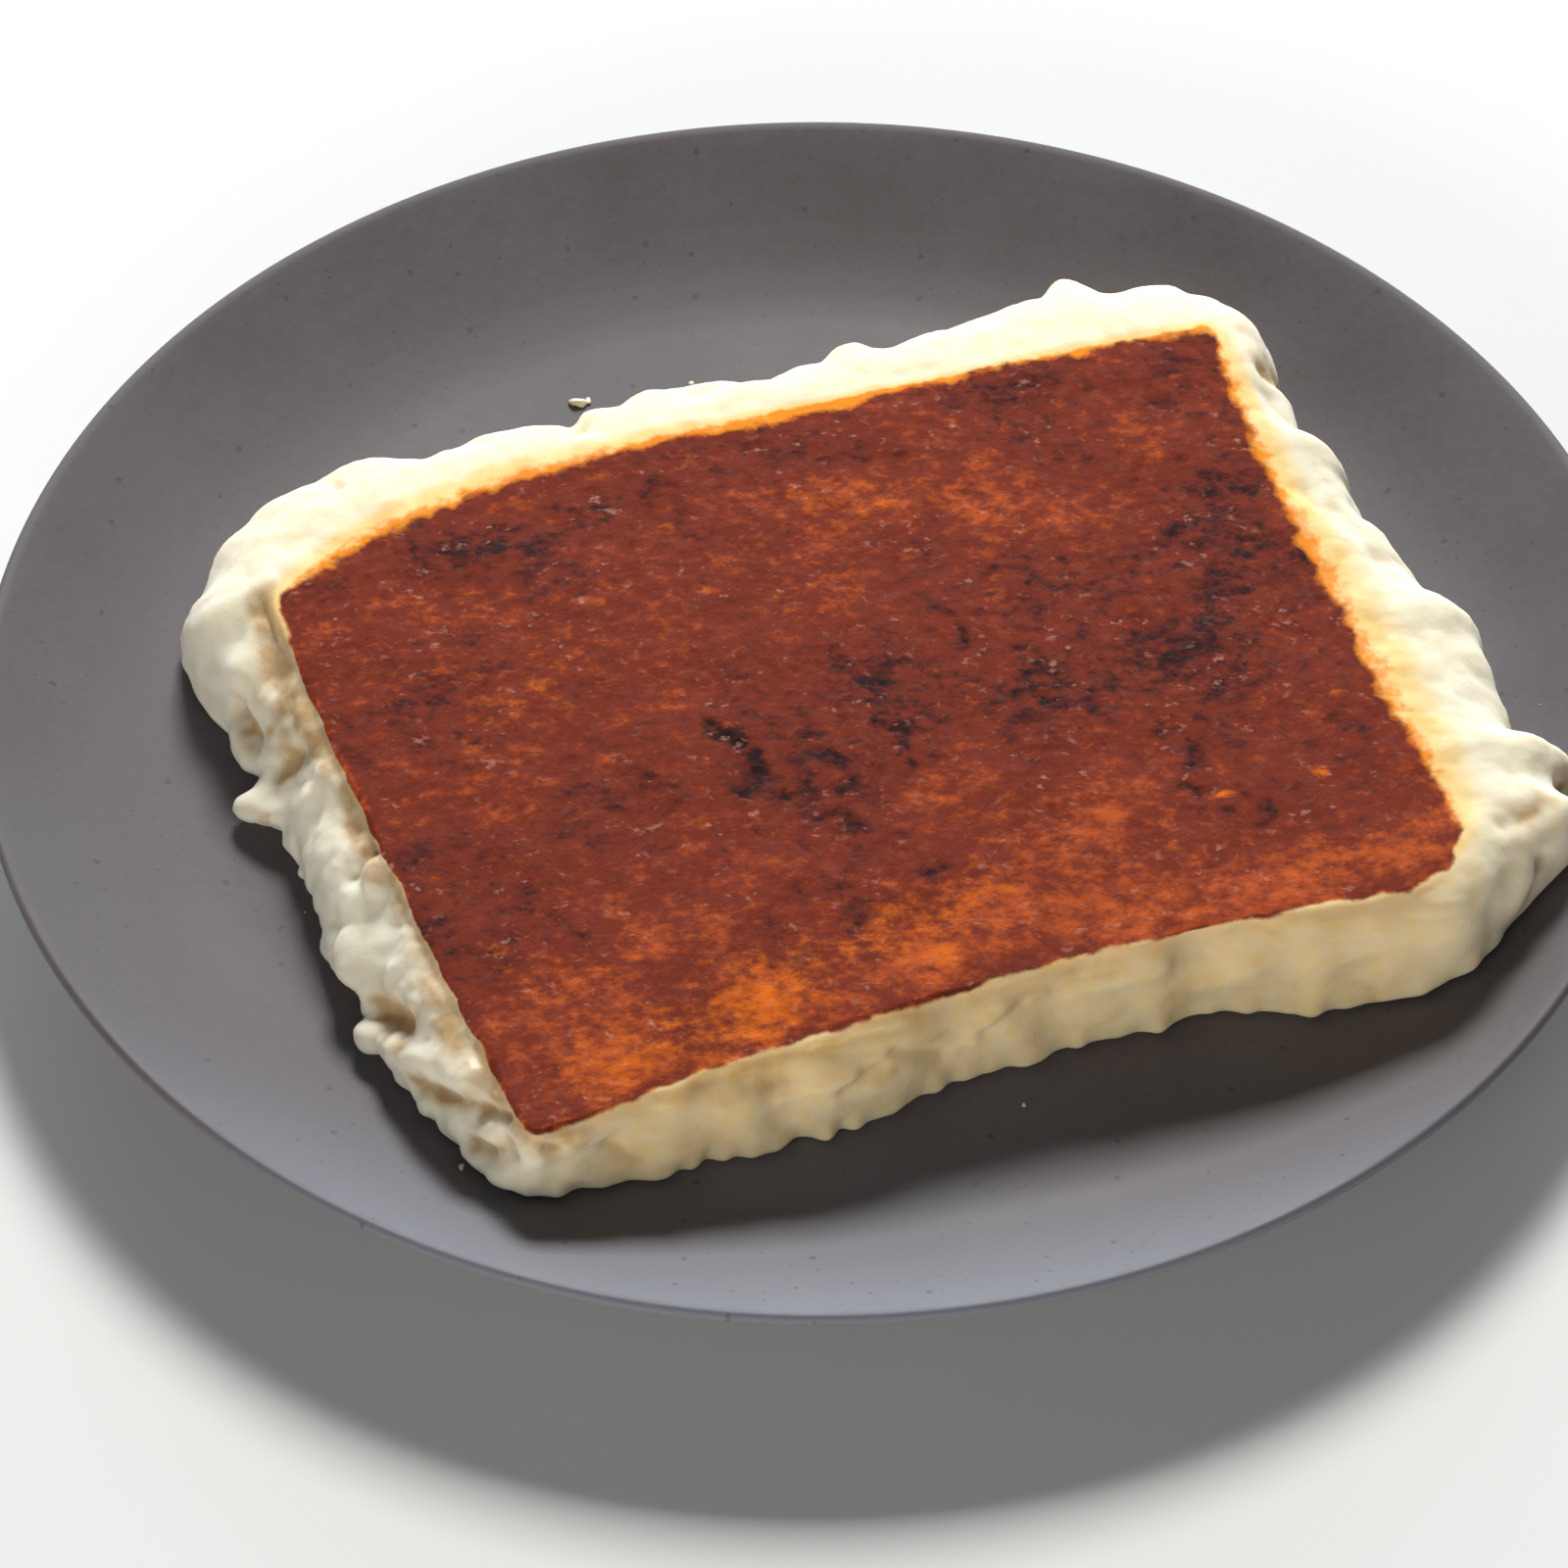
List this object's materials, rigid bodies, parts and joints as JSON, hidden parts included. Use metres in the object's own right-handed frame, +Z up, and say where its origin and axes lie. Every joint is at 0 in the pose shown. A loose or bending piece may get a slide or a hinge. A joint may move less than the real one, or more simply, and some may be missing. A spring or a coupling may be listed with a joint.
{
  "type": "plated milk pudding dessert",
  "caption": "Rectangular portion of browned milk pudding, dark side up with torn soft sides, lying on a shallow round stoneware plate with a foot ring.",
  "frame": {"origin": "centre of the plate's foot ring, on the table", "axes": "+Z up through the plate's centre; +X to the right and +Y to the back as the plate is seen from the front"},
  "size_m": [0.2, 0.2, 0.0248],
  "materials": {
    "stoneware": "matte grey stoneware with fine dark specks",
    "milk_pudding": "soft moist cream-coloured pudding, its upper face browned to a dark caramel crust"
  },
  "bodies": {
    "root": {"plate": "stoneware", "kazandibi": "milk_pudding"}
  },
  "joints": []
}
